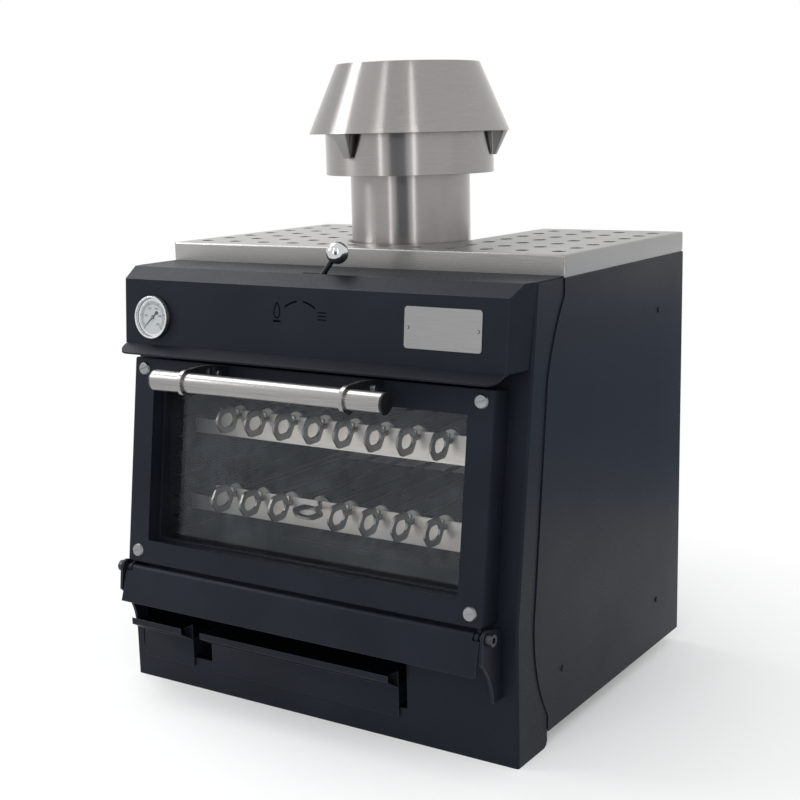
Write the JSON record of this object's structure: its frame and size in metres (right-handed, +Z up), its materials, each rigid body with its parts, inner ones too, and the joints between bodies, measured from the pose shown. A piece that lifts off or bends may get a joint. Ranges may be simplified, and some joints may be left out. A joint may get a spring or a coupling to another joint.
{
  "type": "charcoal oven",
  "caption": "Counter-top charcoal oven with a glazed drop-down door, skewer racks, ash drawers, damper lever, thermometer and a capped flue.",
  "frame": {"origin": "on the floor under the middle of the whole closed oven", "axes": "+Z up, the door looks towards -Y, +X to the oven's right seen from the front"},
  "size_m": [0.744, 0.6996, 1.01],
  "materials": {
    "black_coating": "satin black powder coat",
    "stainless_steel": "brushed",
    "liner_steel": "dull rolled sheet",
    "skewer_steel": "smooth",
    "cast_grate": "rough casting",
    "polished_chrome": "polished",
    "dial_white": "white print ground",
    "needle_black": "matt",
    "gauge_glass": "clear",
    "oven_glass": "clear ceramic glass",
    "rope_seal": "woven glass rope",
    "ceramic_board": "pressed fibre board",
    "cap_plastic": "moulded heat-proof plastic"
  },
  "bodies": {
    "oven": {"front_frame": "black_coating", "side_panel_left": "black_coating", "side_panel_right": "black_coating", "side_screws": "black_coating", "back_panel": "black_coating", "base_pan": "black_coating", "rear_feet": "black_coating", "top_deck": "stainless_steel", "top_plate": "stainless_steel", "hood": "black_coating", "visor_lip": "black_coating", "fascia_plate": "stainless_steel", "thermometer_case": "stainless_steel", "thermometer_dial": "dial_white", "thermometer_glass": "gauge_glass", "flue_tube": "stainless_steel", "firebreak_drum": "stainless_steel", "cap_cone": "stainless_steel", "cap_gussets": "stainless_steel", "guide_walls": "liner_steel", "liner_shell": "liner_steel", "hearth_floor": "liner_steel", "charcoal_grate": "cast_grate", "roof_insulation": "ceramic_board", "hinge_plates": "black_coating", "hinge_bolts": "stainless_steel"},
    "door": {"door_frame": "black_coating", "door_inner_frame": "black_coating", "door_glass": "oven_glass", "door_seal": "rope_seal", "door_screws": "stainless_steel", "handle_tube": "stainless_steel", "handle_caps": "cap_plastic", "handle_brackets": "stainless_steel", "handle_bolts": "stainless_steel"},
    "apron": {"apron": "black_coating"},
    "ash_drawer": {"ash_drawer": "black_coating"},
    "air_drawer": {"air_drawer": "black_coating"},
    "damper": {"damper": "stainless_steel", "lever_rod": "stainless_steel", "lever_ball": "polished_chrome"},
    "needle": {"thermometer_needle": "needle_black"},
    "rack_upper": {"rack_upper": "stainless_steel"},
    "rack_lower": {"rack_lower": "stainless_steel"},
    "skewer_upper_1": {"skewer_upper_1": "skewer_steel"},
    "skewer_upper_2": {"skewer_upper_2": "skewer_steel"},
    "skewer_upper_3": {"skewer_upper_3": "skewer_steel"},
    "skewer_upper_4": {"skewer_upper_4": "skewer_steel"},
    "skewer_upper_5": {"skewer_upper_5": "skewer_steel"},
    "skewer_upper_6": {"skewer_upper_6": "skewer_steel"},
    "skewer_upper_7": {"skewer_upper_7": "skewer_steel"},
    "skewer_upper_8": {"skewer_upper_8": "skewer_steel"},
    "skewer_lower_1": {"skewer_lower_1": "skewer_steel"},
    "skewer_lower_2": {"skewer_lower_2": "skewer_steel"},
    "skewer_lower_3": {"skewer_lower_3": "skewer_steel"},
    "skewer_lower_4": {"skewer_lower_4": "skewer_steel"},
    "skewer_lower_5": {"skewer_lower_5": "skewer_steel"},
    "skewer_lower_6": {"skewer_lower_6": "skewer_steel"},
    "skewer_lower_7": {"skewer_lower_7": "skewer_steel"},
    "skewer_lower_8": {"skewer_lower_8": "skewer_steel"}
  },
  "joints": [
    {"name": "door_hinge", "type": "hinge", "parent": "oven", "child": "door", "pos_m": [0, -0.28521, 0.206], "axis": [1, 0, 0], "range_deg": [0, 97.75]},
    {"name": "apron_hinge", "type": "hinge", "parent": "oven", "child": "apron", "pos_m": [0, -0.28521, 0.206], "axis": [-1, 0, 0], "range_deg": [0, 16]},
    {"name": "ash_drawer_slide", "type": "slide", "parent": "oven", "child": "ash_drawer", "axis": [0, -1, 0], "range_m": [0, 0.27]},
    {"name": "air_drawer_slide", "type": "slide", "parent": "oven", "child": "air_drawer", "axis": [0, -1, 0], "range_m": [0, 0.2]},
    {"name": "damper_turn", "type": "hinge", "parent": "oven", "child": "damper", "pos_m": [0, 0.07777, 0.6767], "axis": [0, 1, 0], "range_deg": [-76, 0]},
    {"name": "needle_turn", "type": "hinge", "parent": "oven", "child": "needle", "pos_m": [-0.2916, -0.23916, 0.618], "axis": [0, 0.9957, -0.0922], "range_deg": [0, 270], "stiffness_Nm_per_rad": 0.002},
    {"name": "rack_upper_slide", "type": "slide", "parent": "oven", "child": "rack_upper", "axis": [0, -1, 0], "range_m": [0, 0.12]},
    {"name": "rack_lower_slide", "type": "slide", "parent": "oven", "child": "rack_lower", "axis": [0, -1, 0], "range_m": [0, 0.12]},
    {"name": "skewer_upper_1_turn", "type": "hinge", "parent": "rack_upper", "child": "skewer_upper_1", "pos_m": [-0.203, -0.14323, 0.446], "axis": [0, 1, 0], "continuous": true},
    {"name": "skewer_upper_2_turn", "type": "hinge", "parent": "rack_upper", "child": "skewer_upper_2", "pos_m": [-0.145, -0.14323, 0.446], "axis": [0, 1, 0], "continuous": true},
    {"name": "skewer_upper_3_turn", "type": "hinge", "parent": "rack_upper", "child": "skewer_upper_3", "pos_m": [-0.087, -0.14323, 0.446], "axis": [0, 1, 0], "continuous": true},
    {"name": "skewer_upper_4_turn", "type": "hinge", "parent": "rack_upper", "child": "skewer_upper_4", "pos_m": [-0.029, -0.14323, 0.446], "axis": [0, 1, 0], "continuous": true},
    {"name": "skewer_upper_5_turn", "type": "hinge", "parent": "rack_upper", "child": "skewer_upper_5", "pos_m": [0.029, -0.14323, 0.446], "axis": [0, 1, 0], "continuous": true},
    {"name": "skewer_upper_6_turn", "type": "hinge", "parent": "rack_upper", "child": "skewer_upper_6", "pos_m": [0.087, -0.14323, 0.446], "axis": [0, 1, 0], "continuous": true},
    {"name": "skewer_upper_7_turn", "type": "hinge", "parent": "rack_upper", "child": "skewer_upper_7", "pos_m": [0.145, -0.14323, 0.446], "axis": [0, 1, 0], "continuous": true},
    {"name": "skewer_upper_8_turn", "type": "hinge", "parent": "rack_upper", "child": "skewer_upper_8", "pos_m": [0.203, -0.14323, 0.446], "axis": [0, 1, 0], "continuous": true},
    {"name": "skewer_lower_1_turn", "type": "hinge", "parent": "rack_lower", "child": "skewer_lower_1", "pos_m": [-0.203, -0.16423, 0.318], "axis": [0, 1, 0], "continuous": true},
    {"name": "skewer_lower_2_turn", "type": "hinge", "parent": "rack_lower", "child": "skewer_lower_2", "pos_m": [-0.145, -0.16423, 0.318], "axis": [0, 1, 0], "continuous": true},
    {"name": "skewer_lower_3_turn", "type": "hinge", "parent": "rack_lower", "child": "skewer_lower_3", "pos_m": [-0.087, -0.16423, 0.318], "axis": [0, 1, 0], "continuous": true},
    {"name": "skewer_lower_4_turn", "type": "hinge", "parent": "rack_lower", "child": "skewer_lower_4", "pos_m": [-0.029, -0.16423, 0.318], "axis": [0, 1, 0], "continuous": true},
    {"name": "skewer_lower_5_turn", "type": "hinge", "parent": "rack_lower", "child": "skewer_lower_5", "pos_m": [0.029, -0.16423, 0.318], "axis": [0, 1, 0], "continuous": true},
    {"name": "skewer_lower_6_turn", "type": "hinge", "parent": "rack_lower", "child": "skewer_lower_6", "pos_m": [0.087, -0.16423, 0.318], "axis": [0, 1, 0], "continuous": true},
    {"name": "skewer_lower_7_turn", "type": "hinge", "parent": "rack_lower", "child": "skewer_lower_7", "pos_m": [0.145, -0.16423, 0.318], "axis": [0, 1, 0], "continuous": true},
    {"name": "skewer_lower_8_turn", "type": "hinge", "parent": "rack_lower", "child": "skewer_lower_8", "pos_m": [0.203, -0.16423, 0.318], "axis": [0, 1, 0], "continuous": true}
  ],
  "couplings": [
    {"joint": "rack_upper_slide", "follows": "door_hinge", "m_per_rad": 0.07},
    {"joint": "rack_lower_slide", "follows": "door_hinge", "m_per_rad": 0.07}
  ]
}
